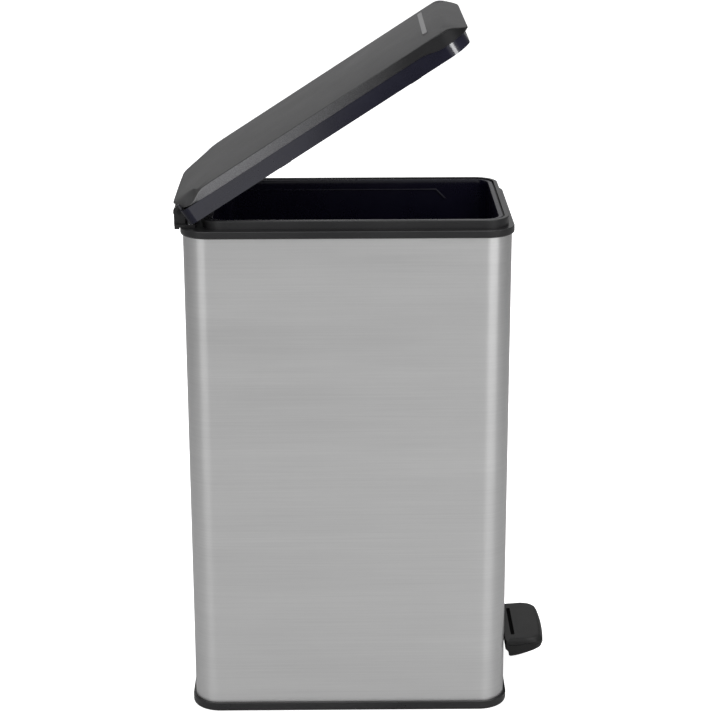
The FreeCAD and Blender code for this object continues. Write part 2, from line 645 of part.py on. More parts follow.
def lid_cover():
    cover = body("lid_cover", ON_LID)
    loft(cover, "Additive", [cover_section(name, "0") for name in ("lip", "nose", "brow", "top")])
    loft(cover, "Subtractive", [
        cover_section("lip", "lid_wall", "cover_front_edge"),
        cover_section("nose", "lid_wall", "cover_nose-1"),
        cover_section("brow", "lid_wall", "cover_brow-lid_wall"),
        cover_section("top", "lid_wall", "cover_top-lid_wall")])
    sides = sketch(cover, y=lid_place("lip_drop/2+10"), z=lid_height("cover_side_edge"))
    cut(cover, draw_box(sides, "body_width+40", "body_depth-lip_drop+20"),
        "cover_side_edge-cover_front_edge+1")
    rear = sketch(cover, y=lid_place("body_depth/2+10"), z=lid_height("cover_rear_edge"))
    cut(cover, draw_box(rear, "body_width+40", "40"), "cover_rear_edge-cover_front_edge+1")
    tray = sketch(cover, y=lid_place("-inlay_front"), z=lid_height("cover_top"))
    cut(cover, draw_box(tray, "inlay_length", "inlay_width", "inlay_width/3"), "inlay_depth")


def lid_inlay():
    inlay = body("lid_inlay", ON_LID)
    strip = sketch(inlay, y=lid_place("-inlay_front"), z=lid_height("cover_top-inlay_depth"))
    pad(inlay, draw_box(strip, "inlay_length", "inlay_width", "inlay_width/3"), "inlay_depth")


def lift_striker():
    """Bracket under the liner's ceiling whose round nose rests on the push rod's cap."""
    nose_y = "-striker_arm*cos(lid_travel/2)"
    nose_z = "-striker_arm*sin(lid_travel/2)"
    ceiling = lid_height("liner_ceiling")
    plate = block("0", f"{nose_y}-30", f"{ceiling}-2", "cap_width-4", "32", "2")
    web = block("0", f"{nose_y}-2", nose_z, "cap_width-4", "4", f"{ceiling}-({nose_z})")
    nose = rod("-(cap_width-4)/2", nose_y, nose_z, "nose_radius", "cap_width-4")
    keep(stand(union(plate, web, nose), ON_LID), "lift_striker")


def lid_buffers():
    """Rubber pads in the liner's lower edge, where the lid lands on the band."""
    pads = []
    for x in ("-1", "1"):
        for y in ("-0.62", "0.3"):
            pads.append(block(f"{x}*({LINER_WIDTH}-lid_wall)/2", f"{y}*body_depth/2-hinge_rear-7",
                              lid_height("liner_bottom-0.4"), "lid_wall-0.3", "14", "0.4"))
    keep(stand(group_of(*pads), ON_LID), "lid_buffers")


def lid_screws():
    """Screws up through the liner's ceiling that hold the cover."""
    screws = []
    for x in ("-", ""):
        for y in ("-(body_depth/2-50)", "0", "(body_depth/2-60)"):
            screws.append(rod(f"{x}(body_width/2-37.5)", lid_place(y), lid_height("liner_ceiling-1.5"),
                              "3.4", "1.5", "z"))
    keep(stand(group_of(*screws), ON_LID), "lid_screws")


# ---- lift: push rod and guides -----------------------------------------------------------------
CAP_TOP = ("hinge_level-pivot_level-striker_arm*sin(lid_travel/2)-nose_radius-lift_gap"
           "+(rod_rear-pivot_rear)*lever_ratio*pi/180*level_open")


def rod_foot():
    """Block in the lever's tail with a slot for the pin, longer front to rear."""
    foot = body("rod_foot", ON_ROD)
    middle = draw_box(sketch(foot, z="-foot_height/3"), "foot_width", "foot_length", "2")
    pad(foot, middle, "foot_height")
    slot = sketch(foot, "YZ_Plane")
    draw_box(slot, "2*pin_radius+2*foot_slack+0.3", "2*pin_radius+0.3", "pin_radius+0.1")
    cut(foot, slot, "foot_width+2", both=True)


def push_rod():
    strip = body("push_rod", ON_ROD)
    bottom = "foot_height-foot_height/3"
    pad(strip, draw_box(sketch(strip, z=bottom), "rod_width", "rod_thick", "1"),
        f"{CAP_TOP}-cap_thick-({bottom})")


def rod_cap():
    cap = body("rod_cap", ON_ROD)
    pad(cap, draw_box(sketch(cap, z=f"{CAP_TOP}-cap_thick"), "cap_width", "cap_length", "2"), "cap_thick")


def rod_guides():
    """Two slotted blocks on the shell's rear wall."""
    guides = []
    rear = "body_depth/2-steel_wall"
    for z in ("guide_low", "shell_top-guide_drop"):
        guide = block("0", "rod_rear-rod_thick/2-5", z, "rod_width+14", f"{rear}-rod_rear+rod_thick/2+5",
                      "guide_height")
        way = block("0", "rod_rear-rod_thick/2-gap", f"{z}-1", "rod_width+2*gap", "rod_thick+2*gap",
                    "guide_height+2")
        guides.append(minus(guide, way))
    keep(group_of(*guides), "rod_guides")


# ---- lever -------------------------------------------------------------------------------------
TAIL = "(rod_rear-pivot_rear)"


def lever_arm():
    """Channel open downwards, deep at the pivot, notched at the tail for the rod's foot."""
    arm = body("lever_arm", ON_LEVER)
    side = sketch(arm, "YZ_Plane")
    front = "-(lever_front+pivot_rear)"
    neck = "-(body_depth/2+pivot_rear)"
    draw_path(side, [
        (front, "1"), (f"{neck}-5", "1"), (neck, "-lever_neck"), ("-100", "-lever_neck"),
        ("-40", "-lever_depth"), ("45", "-lever_depth"), (f"{TAIL}-30", "-lever_neck-3"),
        (f"{TAIL}+8", "-lever_neck-3"), (f"{TAIL}+8", "lever_rise"), (front, "lever_rise")])
    pad(arm, side, "lever_width", both=True)
    under = sketch(arm, y=f"({TAIL}-lever_front-pivot_rear)/2", z="lever_rise-lever_wall")
    cut(arm, draw_box(under, "lever_width-2*lever_wall", f"{TAIL}+lever_front+pivot_rear+40"),
        "lever_rise+lever_depth")
    notch = sketch(arm, y=TAIL, z="lever_rise+1")
    cut(arm, draw_box(notch, "foot_width+4", "foot_length+12"), "lever_wall+2")
    window = sketch(arm, z="lever_rise+1")
    cut(arm, draw_box(window, "spring_turns*spring_pitch+7", "2*spring_radius+8"), "lever_wall+2")
    cut(arm, draw_hole(sketch(arm, "YZ_Plane"), "0", "0", "bush_radius"), "lever_width+2", both=True)
    cut(arm, draw_hole(sketch(arm, "YZ_Plane"), TAIL, "0", "pin_radius"), "lever_width+2", both=True)


def lever_bush():
    tube = rod("-lever_width/2", "0", "0", "bush_radius", "lever_width")
    bore = rod("-lever_width/2", "0", "0", "pivot_pin+running", "lever_width")
    keep(stand(minus(tube, bore), ON_LEVER), "lever_bush")


def rod_pin():
    pin = rod("-lever_width/2-1", TAIL, "0", "pin_radius", "lever_width+2")
    keep(stand(group_of(pin), ON_LEVER), "rod_pin")


BRACKET_HALF = "(lever_width/2+1.5)"


def pivot_bracket():
    """Plate on the tray's floor with an ear each side of the lever."""
    plate = block("0", "pivot_rear-22", "base_floor", "lever_width+30", "44", "2.5")
    pieces = [plate]
    for start in (f"{BRACKET_HALF}", f"-{BRACKET_HALF}-3"):
        pieces.append(block(f"{start}+1.5", "pivot_rear-12", "base_floor", "3", "24",
                            "pivot_level-base_floor"))
        pieces.append(rod(start, "pivot_rear", "pivot_level", "12", "3"))
    bore = rod("-50", "pivot_rear", "pivot_level", "pivot_pin", "100")
    keep(minus(union(*pieces), bore), "pivot_bracket")


def pivot_pin():
    keep(rod(f"-{BRACKET_HALF}-6", "pivot_rear", "pivot_level", "pivot_pin", f"2*{BRACKET_HALF}+12"),
         "pivot_pin")


def pivot_clips():
    """Retaining rings outside the ears."""
    clips = []
    for start in (f"{BRACKET_HALF}+3", f"-{BRACKET_HALF}-4.2"):
        ring = rod(start, "pivot_rear", "pivot_level", "pivot_pin+2.6", "1.2")
        clips.append(minus(ring, rod(start, "pivot_rear", "pivot_level", "pivot_pin", "1.2")))
    keep(group_of(*clips), "pivot_clips")


def bracket_screws():
    """Screw heads that hold the pivot bracket to the tray."""
    screws = []
    for x in ("-lever_width/2-10", "lever_width/2+10"):
        for y in ("pivot_rear-15", "pivot_rear+15"):
            screws.append(rod(x, y, "base_floor+2.5", "3.5", "2", "z"))
    keep(group_of(*screws), "bracket_screws")


def lever_spring():
    """Torsion spring round the bush; wound as one helix."""
    pitch = size("spring_pitch")
    length = pitch * size("spring_turns")
    radius = size("spring_radius")
    helix = Part.makeHelix(pitch, length, radius)
    section = Part.Wire(Part.makeCircle(size("spring_wire"), FreeCAD.Vector(radius, 0, 0),
                                        FreeCAD.Vector(0, 1, 0)))
    coil = Part.Wire(helix.Edges).makePipeShell([section], True, True)
    spring = doc.addObject("Part::Feature", "lever_spring")
    spring.Shape = coil
    middle = FreeCAD.Vector(-length / 2, size("pivot_rear"), size("pivot_level"))
    spring.Placement = FreeCAD.Placement(middle, FreeCAD.Rotation(FreeCAD.Vector(0, 1, 0), 90))
    keep(spring, "lever_spring")


# ---- pedal -------------------------------------------------------------------------------------
def pedal_y(out):
    """A place out from the shell's front, in the lever's frame."""
    return f"-(body_depth/2+({out})+pivot_rear)"


def pedal_cover():
    """Foot plate with a skirt, hollow from below, with a boss that sits on the lever."""
    cover = body("pedal_cover", ON_LEVER)
    side = sketch(cover, "YZ_Plane")
    draw_path(side, [
        (pedal_y("pedal_start"), "14"), (pedal_y("pedal_reach-8"), "17"), (pedal_y("pedal_reach-1.5"), "12"),
        (pedal_y("pedal_reach"), "5"), (pedal_y("pedal_reach-2.5"), "1"), (pedal_y("pedal_reach-10"), "0"),
        (pedal_y("pedal_start+7"), "-9"), (pedal_y("pedal_start+5"), "-3"), (pedal_y("pedal_start"), "-1")])
    pad(cover, side, "pedal_width", both=True)
    doc.recompute()
    ends = size("pedal_width/2")
    outer = size(pedal_y("pedal_reach-3")) + 1

    def corner(edge):
        box = edge.BoundBox
        at_end = box.XLength < LOOSE and abs(abs(box.XMin) - ends) < LOOSE
        return at_end and box.ZLength > 3 and box.YMax < outer
    soften(cover, "pedal_corner*0.75", corner)
    under = sketch(cover, "YZ_Plane")
    draw_path(under, [
        (pedal_y("pedal_start-1"), "11.3"), (pedal_y("pedal_reach-9"), "14.2"),
        (pedal_y("pedal_reach-4"), "10.5"), (pedal_y("pedal_reach-3"), "-8"), (pedal_y("pedal_start+8"), "-20"),
        (pedal_y("pedal_start-1"), "-20")])
    cut(cover, under, "pedal_width-2*pedal_wall", both=True)
    boss = sketch(cover, y=pedal_y("(pedal_start+lever_out)/2"), z="lever_rise+gap")
    pad(cover, draw_box(boss, "lever_width-4", "lever_out-pedal_start-4", "3"), "5")
    groove = sketch(cover, y=pedal_y("groove_out"), z="14.7")
    cut(cover, draw_box(groove, "groove_length", "groove_width", "groove_width/2.2"), "groove_depth")


def pedal_plate():
    """Plate inside the skirt that closes the pedal from below."""
    plate = body("pedal_plate", ON_LEVER)
    side = sketch(plate, "YZ_Plane")
    draw_path(side, [
        (pedal_y("pedal_start+10"), "-7.6"), (pedal_y("pedal_reach-9"), "1.3"),
        (pedal_y("pedal_reach-9"), "3.3"), (pedal_y("pedal_start+10"), "-5.2")])
    pad(plate, side, "pedal_width-2*pedal_wall-10", both=True)


def pedal_screws():
    """Screws from the lever's web up into the pedal."""
    screws = []
    for x in ("-12", "12"):
        shank = rod(x, pedal_y("25"), "lever_rise-lever_wall-1.6", "3", "1.6", "z")
        screws.append(shank)
    keep(stand(group_of(*screws), ON_LEVER), "pedal_screws")


for make in (base_tray, rubber_feet, outer_shell, slot_bezel, rim, inner_bucket, lid_liner, lid_cover,
             lid_inlay, lift_striker, lid_buffers, lid_screws, hinge_screws, rod_foot, push_rod, rod_cap,
             rod_guides, lever_arm, lever_bush, rod_pin, pivot_bracket, pivot_pin, pivot_clips,
             bracket_screws, lever_spring, pedal_cover, pedal_plate, pedal_screws):
    make()
for hand, side in (("left", "-"), ("right", "")):
    hinge_bracket(f"hinge_bracket_{hand}", side)
    hinge_pin(f"hinge_pin_{hand}", side)
    lid_damper(f"lid_damper_{hand}", side)

doc.recompute()
broken = [thing.Label for thing in doc.Objects if "Invalid" in thing.State or "Error" in thing.State]
for part in PARTS:
    if part.Shape.isNull() or not part.Shape.isValid() or not part.Shape.Solids:
        broken.append(part.Label)
    if part.TypeId == "PartDesign::Body" and len(part.Shape.Solids) != 1:
        broken.append(part.Label)
if broken:
    raise SystemExit(f"not built: {broken}")
os.makedirs("parts", exist_ok=True)
for part in PARTS:
    part.Shape.exportStep(f"parts/{part.Label}.step")
    print(part.Label, len(part.Shape.Solids), round(part.Shape.Volume))
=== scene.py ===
# %% [markdown]
# # A pedal trash can
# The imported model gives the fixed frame: where the steel, the rim, the hinges and the pedal are, and
# how they move. It could be shown as it is, but its visible surfaces are plain. Here the pieces that
# catch the eye are modelled again inside the same outlines, and every surface gets its own finish.

# %% Load the fixed frame
import json
import math

import bmesh
import bpy
from mathutils import Matrix, Vector, noise


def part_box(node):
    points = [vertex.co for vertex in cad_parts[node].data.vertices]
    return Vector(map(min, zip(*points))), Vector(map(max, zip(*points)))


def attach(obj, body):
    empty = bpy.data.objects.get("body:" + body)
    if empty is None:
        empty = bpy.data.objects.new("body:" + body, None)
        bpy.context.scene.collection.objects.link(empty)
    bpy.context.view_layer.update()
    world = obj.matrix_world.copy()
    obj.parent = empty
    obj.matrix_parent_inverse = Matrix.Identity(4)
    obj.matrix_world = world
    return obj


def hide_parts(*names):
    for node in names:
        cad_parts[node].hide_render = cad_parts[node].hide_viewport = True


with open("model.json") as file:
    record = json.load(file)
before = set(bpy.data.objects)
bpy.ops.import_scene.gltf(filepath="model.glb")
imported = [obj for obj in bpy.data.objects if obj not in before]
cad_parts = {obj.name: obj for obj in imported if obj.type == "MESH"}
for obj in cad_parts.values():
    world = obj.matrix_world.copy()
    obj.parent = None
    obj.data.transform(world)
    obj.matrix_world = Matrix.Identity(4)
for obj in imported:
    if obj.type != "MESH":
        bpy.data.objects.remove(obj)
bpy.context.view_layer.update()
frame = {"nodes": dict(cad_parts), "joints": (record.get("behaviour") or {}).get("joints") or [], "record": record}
nodes = frame["nodes"]
MM = 0.001

# %% [markdown]
# ## The lid's two positions
# The lid stands half open, but its shape is much easier to think about when it is shut: level, square
# with the can. So each lid piece is drawn shut and then swung open about the hinge, by the angle that
# the joint still has to travel to its closed stop.

# %% Swing between shut and open
lid_joint = next(joint for joint in frame["joints"] if joint["name"] == "lid_hinge")
hinge = Vector(lid_joint["pos_m"])
swing = Matrix.Rotation(math.radians(-lid_joint["range_deg"][0]), 4, Vector(lid_joint["axis"]))
OPEN = Matrix.Translation(hinge) @ swing @ Matrix.Translation(-hinge)


def shut_box(node):
    """Lowest and highest corners of a lid node with the lid shut."""
    points = [OPEN.inverted() @ vertex.co for vertex in nodes[node].data.vertices]
    low = Vector([min(point[axis] for point in points) for axis in range(3)])
    high = Vector([max(point[axis] for point in points) for axis in range(3)])
    return low, high


steel_low, steel_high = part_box("outer_shell")
cover_low, cover_high = shut_box("lid_cover")
print("hinge", tuple(hinge), "cover shut", tuple(cover_low), tuple(cover_high))

# %% [markdown]
# ## Outlines and skins
# Nearly every moulding here is a rounded rectangle that changes as it rises. An outline is a closed
# list of points with the same count in every ring, so two rings always join with plain quads. A skin
# is the mesh through a stack of rings, closed at both ends. A boolean of primitives would be shorter,
# but its edges would be hard and its faces long; a skin carries round edges and changes of height.

# %% Outline of a rounded rectangle
SIDE_STEPS, END_STEPS, ARC_STEPS = 64, 24, 14


def outline(half_width, front, rear, corner, rear_corner=None):
    """(x, y) round a rectangle from the middle of its rear: left, front, right and back."""
    rear_corner = rear_corner or corner
    bends = [(-half_width + rear_corner, rear - rear_corner, rear_corner, 90, SIDE_STEPS),
             (-half_width + corner, front + corner, corner, 180, END_STEPS),
             (half_width - corner, front + corner, corner, 270, SIDE_STEPS),
             (half_width - rear_corner, rear - rear_corner, rear_corner, 0, END_STEPS // 2)]
    points = []

    def run_to(target, steps):
        start = points[-1]
        for step in range(1, steps + 1):
            points.append(start.lerp(target, step / steps))

    points.append(Vector((0, rear)))
    run_to(Vector((bends[0][0], rear)), END_STEPS // 2)
    for x, y, radius, turn, steps in bends:
        for step in range(1, ARC_STEPS + 1):
            angle = math.radians(turn + 90 * step / ARC_STEPS)
            points.append(Vector((x + radius * math.cos(angle), y + radius * math.sin(angle))))
        after = bends[(bends.index((x, y, radius, turn, steps)) + 1) % 4]
        angle = math.radians(after[3])
        target = Vector((after[0] + after[2] * math.cos(angle),
                         after[1] + after[2] * math.sin(angle)))
        run_to(Vector((0, rear)) if turn == 0 else target, steps)
    return points[:-1]


def ring(plan, height):
    """Lift an outline to a height, which may be a number or a rule of (x, y)."""
    return [Vector((x, y, height(x, y) if callable(height) else height)) for x, y in plan]


print("points in an outline", len(outline(0.1, -0.1, 0.1, 0.02)))

# %% Skin through rings
SHARP = math.radians(32)


def finish_mesh(name, mesh):
    """Turn a bmesh into an object: faces outwards, smooth, with edges over the angle kept crisp."""
    bmesh.ops.remove_doubles(mesh, verts=mesh.verts, dist=1e-6)
    bmesh.ops.dissolve_degenerate(mesh, edges=mesh.edges, dist=1e-6)
    bmesh.ops.recalc_face_normals(mesh, faces=mesh.faces)
    for face in mesh.faces:
        face.smooth = True
    for edge in mesh.edges:
        edge.smooth = len(edge.link_faces) == 2 and edge.calc_face_angle(0) < SHARP
    data = bpy.data.meshes.new(name)
    mesh.to_mesh(data)
    mesh.free()
    made = bpy.data.objects.new(name, data)
    bpy.context.scene.collection.objects.link(made)
    return made


def stitch(mesh, row, flip=False):
    """Close a ring across its middle with quads between its left and right halves."""
    count = len(row)
    for index in range(count // 2):
        far, near = row[(count - index - 1) % count], row[(count - index) % count]
        quad = [row[index], row[index + 1], far, near]
        face = list(dict.fromkeys(quad))
        if len(face) > 2:
            mesh.faces.new(face[::-1] if flip else face)


def skin(name, rings):
    """Mesh through a stack of rings, closed at both ends."""
    mesh = bmesh.new()
    rows = [[mesh.verts.new(point) for point in points] for points in rings]
    for lower, upper in zip(rows, rows[1:]):
        for index in range(len(lower)):
            after = (index + 1) % len(lower)
            mesh.faces.new((lower[index], lower[after], upper[after], upper[index]))
    stitch(mesh, rows[0], flip=True)
    stitch(mesh, rows[-1])
    return finish_mesh(name, mesh)


def ease(value, start, end):
    """0 before start, 1 after end, smooth between; the two may be in either order."""
    share = min(max((value - start) / (end - start), 0), 1)
    return share * share * (3 - 2 * share)


# %% [markdown]
# ## Shader maths
# A finish is mostly arithmetic on masks: noise times a strength, one minus wear. Wiring Math nodes by
# hand hides that. This wrapper holds one socket, and adding or multiplying it adds the Math node, so
# a finish reads like a formula. Every other node comes from its one method, node().

# %% A socket that does arithmetic
class Wire:
    """A socket in a node tree. Arithmetic with numbers or other wires adds Math nodes."""

    def __init__(self, tree, socket=None):
        self.tree = tree
        self.socket = socket

    def node(self, kind, settings=None, sockets=None, out=0):
        """Add a node: settings first, then a value or a wire for each socket named or numbered."""
        made = self.tree.nodes.new(kind)
        for name, value in (settings or {}).items():
            setattr(made, name, value)
        for name, value in (sockets or {}).items():
            if isinstance(value, Wire):
                self.tree.links.new(value.socket, made.inputs[name])
            else:
                made.inputs[name].default_value = value
        return Wire(self.tree, made.outputs[out] if made.outputs else None)

    def maths(self, operation, first, second):
        return self.node("ShaderNodeMath", {"operation": operation}, {0: first, 1: second})

    def __add__(self, other):
        return self.maths("ADD", self, other)

    def __mul__(self, other):
        return self.maths("MULTIPLY", self, other)


# %% Parts that every finish shares
def start_finish(name):
    """A new material with its nodes cleared; returns it and a wire to build from."""
    made = bpy.data.materials.new(name)
    made.use_nodes = True
    made.node_tree.nodes.clear()
    return made, Wire(made.node_tree)


def place(wire, stretch=(1, 1, 1)):
    """Object coordinates, stretched to draw grain out in a direction."""
    spot = wire.node("ShaderNodeTexCoord", out=3)
    return wire.node("ShaderNodeMapping", None, {"Vector": spot, "Scale": stretch})


def cloud(wire, spot, scale, detail=2.0, rough=0.5):
    return wire.node("ShaderNodeTexNoise", None,
                     {"Vector": spot, "Scale": scale, "Detail": detail, "Roughness": rough})


def span(wire, value, low, high, to_low, to_high):
    """Map a wire's range low..high to another range, held at both ends."""
    return wire.node("ShaderNodeMapRange", {"clamp": True}, {
        "Value": value, "From Min": low, "From Max": high, "To Min": to_low, "To Max": to_high})


def blend_colours(wire, mask, first, second):
    return wire.node("ShaderNodeMix", {"data_type": "RGBA"}, {0: mask, 6: first, 7: second}, out=2)


def bumps(wire, height, depth):
    """Normal from a height between 0 and 1; depth is its real relief in metres."""
    return wire.node("ShaderNodeBump", None, {"Height": height, "Distance": depth, "Strength": 1.0})


def close_finish(made, wire, **sockets):
    """Add the surface shader with the given sockets and join it to the output."""
    named = {name.replace("_", " "): value for name, value in sockets.items()}
    surface = wire.node("ShaderNodeBsdfPrincipled", None, named)
    wire.node("ShaderNodeOutputMaterial", None, {"Surface": surface})
    return made


def colour(red, green, blue):
    return (red, green, blue, 1.0)


# %% [markdown]
# ## Brushed steel
# The sheet is ground by a belt that runs round the can before it is rolled, so its scratches are long
# and level, and light smears up and down across them. An image texture would repeat and show seams.
# Noise that is stretched along the belt and squeezed across it gives scratches of every length, and
# the shader's own anisotropy gives the smear. Broad faint bands stand for the belt's uneven pressure.

# %% Brushed steel finish
def steel_finish():
    made, wire = start_finish("brushed_steel")
    scratches = cloud(wire, place(wire, (3, 3, 1300)), 1.0, 3.0, 0.65)
    strands = cloud(wire, place(wire, (7, 7, 330)), 1.0, 4.0, 0.6)
    bands = cloud(wire, place(wire, (1.6, 1.6, 24)), 1.0, 2.0, 0.5)
    patches = cloud(wire, place(wire), 5.0, 3.0, 0.55)
    shade = scratches * 0.35 + strands * 0.30 + bands * 0.25 + patches * 0.10
    tone = blend_colours(wire, span(wire, shade, 0.35, 0.65, 0, 1),
                         colour(0.72, 0.72, 0.72), colour(0.80, 0.80, 0.798))
    rough = span(wire, strands * 0.6 + bands * 0.4, 0.3, 0.7, 0.31, 0.40)
    relief = bumps(wire, scratches * 0.6 + strands * 0.4, 0.00002)
    return close_finish(made, wire, Base_Color=tone, Metallic=1.0, Roughness=rough, Normal=relief,
                        Anisotropic=0.75, Anisotropic_Rotation=0.25)


# %% [markdown]
# ## Moulded plastics
# All the black parts are moulded, yet no two look alike: the lid's cover is a dark grey with a fine
# spark-eroded grain, the band below it is polished, the bucket is a smooth blue black, and the pedal
# is satin. One function covers them with a grain size, a grain depth and a range of roughness. Faint
# cloudy wear, where hands and cloths have been, keeps any large face from looking like one colour.

# %% Plastic finish
def plastic_finish(name, dark, light, rough, grain=1400, depth=0.00003, shine=0.3):
    """Moulded plastic: two close colours, (low, high) roughness, grains per metre and their relief."""
    made, wire = start_finish(name)
    spot = place(wire)
    wear_and_painted_light = cloud(wire, spot, 9.0, 4.0, 0.6)
    texture = cloud(wire, spot, grain, 2.0, 0.6)
    speck = cloud(wire, spot, grain * 0.37, 2.0, 0.5)
    mask = span(wire, wear_and_painted_light * 0.8 + texture * 0.2, 0.32, 0.68, 0, 1)
    tone = blend_colours(wire, mask, colour(*dark), colour(*light))
    polish = span(wire, wear_and_painted_light * 0.8 + speck * 0.2, 0.3, 0.7, *rough)
    relief = bumps(wire, texture * 0.7 + speck * 0.3, depth)
    return close_finish(made, wire, Base_Color=tone, Roughness=polish, Normal=relief,
                        Specular_IOR_Level=shine)


# %% [markdown]
# ## Small metal parts
# Brackets and screws are zinc plated, pins are turned steel and the spring is hard drawn wire. They
# are small and mostly hidden, so one metal function with a tint, a roughness and a scratch direction
# is enough: the spangle of zinc and the rings of a turned pin come from the stretch of its noise.

# %% Small metal finish
TURNED = (900, 40, 40)


def metal_finish(name, dark, light, rough, stretch=(60, 60, 60), depth=0.00001):
    made, wire = start_finish(name)
    grain = cloud(wire, place(wire, stretch), 1.0, 4.0, 0.6)
    stain = cloud(wire, place(wire), 22.0, 3.0, 0.5)
    tone = blend_colours(wire, span(wire, grain * 0.6 + stain * 0.4, 0.35, 0.65, 0, 1),
                         colour(*dark), colour(*light))
    polish = span(wire, grain, 0.3, 0.7, *rough)
    return close_finish(made, wire, Base_Color=tone, Metallic=1.0, Roughness=polish,
                        Normal=bumps(wire, grain, depth))


# %% [markdown]
# ## A finish for each slot
# The record names a slot for every part, so the finishes are kept by slot and handed out in one loop.
# Three surfaces differ from their slot. The flat strip along the cover's sides has a coarse sparkling
# grain with painted light on it: pale at the rear and nearly black in front. Two materials would meet
# there in a hard line, so one material is blended by a painted-light mask along the can. The hinge pins
# are blackened, and the groove in the pedal, made with the pedal below, is painted a dull black as
# painted shade in the recess.

# %% One finish for each slot
def grey(level):
    return (level, level, level)


FINISHES = {
    "brushed_steel": steel_finish(),
    "body_plastic": plastic_finish("body_plastic", (0.012, 0.012, 0.013), (0.018, 0.018, 0.019),
                                   (0.26, 0.36), shine=0.45),
    "cover_plastic": plastic_finish("cover_plastic", (0.036, 0.036, 0.037), (0.046, 0.046, 0.047),
                                    (0.42, 0.54), 1100, 0.00005),
    "liner_plastic": plastic_finish("liner_plastic", (0.003, 0.003, 0.006), (0.006, 0.006, 0.011),
                                    (0.12, 0.18), 500, 0.000006, shine=0.2),
    "bucket_plastic": plastic_finish("bucket_plastic", (0.0035, 0.003, 0.010), (0.006, 0.005, 0.015),
                                     (0.22, 0.32), 700, 0.00001),
    "pedal_plastic": plastic_finish("pedal_plastic", grey(0.010), grey(0.015), (0.36, 0.50),
                                    1500, 0.00004),
    "inlay": plastic_finish("inlay", (0.12, 0.12, 0.122), (0.16, 0.16, 0.163), (0.30, 0.40),
                            900, 0.00001),
    "rubber": plastic_finish("rubber", grey(0.012), grey(0.020), (0.70, 0.85), 600, 0.00008),
    "nylon": plastic_finish("nylon", (0.42, 0.42, 0.39), (0.52, 0.52, 0.49), (0.42, 0.55),
                            800, 0.00002),
    "zinc": metal_finish("zinc", (0.46, 0.47, 0.48), (0.62, 0.63, 0.65), (0.32, 0.48)),
    "pin_steel": metal_finish("pin_steel", grey(0.42), grey(0.55), (0.20, 0.32), TURNED),
    "spring_steel": metal_finish("spring_steel", (0.25, 0.25, 0.26), (0.38, 0.38, 0.40),
                                 (0.28, 0.40))}


def edge_finish():
    """The strip along the cover's sides: coarse sparkling grain, with painted light that is pale at the rear and
    dark in front.
    """
    made, wire = start_finish("cover_edge")
    spot = place(wire)
    rearward = wire.node("ShaderNodeSeparateXYZ", None, {0: spot}, out=1)
    grain = cloud(wire, spot, 900.0, 3.0, 0.7)
    # Painted light: along y the strip blends from near black in front to the pale grain at the rear.
    wear_and_painted_light = span(wire, rearward + grain * 0.06, -0.04, 0.16, 0, 1)
    pale = blend_colours(wire, span(wire, grain, 0.35, 0.65, 0, 1), colour(0.075, 0.075, 0.079),
                         colour(0.16, 0.16, 0.167))
    tone = blend_colours(wire, wear_and_painted_light, colour(0.006, 0.006, 0.007), pale)
    return close_finish(made, wire, Base_Color=tone, Roughness=span(wire, grain, 0.3, 0.7, 0.30, 0.45),
                        Normal=bumps(wire, grain, 0.00012), Specular_IOR_Level=0.3)


COVER_EDGE = edge_finish()
slot_of = {part["node"]: part["material_slot"] for part in frame["record"]["subparts"]}
for node, part in nodes.items():
    part.data.materials.clear()
    part.data.materials.append(FINISHES[slot_of[node]])
black_oxide = metal_finish("black_oxide", (0.020, 0.020, 0.021), (0.045, 0.045, 0.047), (0.35, 0.50),
                           TURNED)
for node in ("hinge_pin_left", "hinge_pin_right"):
    nodes[node].data.materials[0] = black_oxide
print("finishes", len(FINISHES), "on", len(nodes), "nodes")


def settle(piece, body, replaced, slot=None):
    """Give a finished piece the material of its slot, put it on its body, and hide the node it replaces."""
    slot = slot or slot_of[replaced]
    piece.data.materials.append(FINISHES[slot])
    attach(piece, body)
    if replaced:
        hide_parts(replaced)
    return piece


# %% [markdown]
# ## Steel shell
# The real shell is one sheet rolled into a tube and joined down the middle of the back, with a slot
# punched low in the front for the pedal. A solid box would show neither. Here an open sheet is drawn
# from one edge of the joint round to the other, bent out of true by a few hundredths of a millimetre
# so that reflections waver as they do on thin metal, cut for the slot, and given its thickness last.

# %% Steel shell
SHEET = 0.8 * MM
SEAM_GAP = 0.5 * MM
SHELL_ROWS = 32
CORNER = 33 * MM
WAVER_MM = 0.12
HALF_WIDTH = steel_high.x


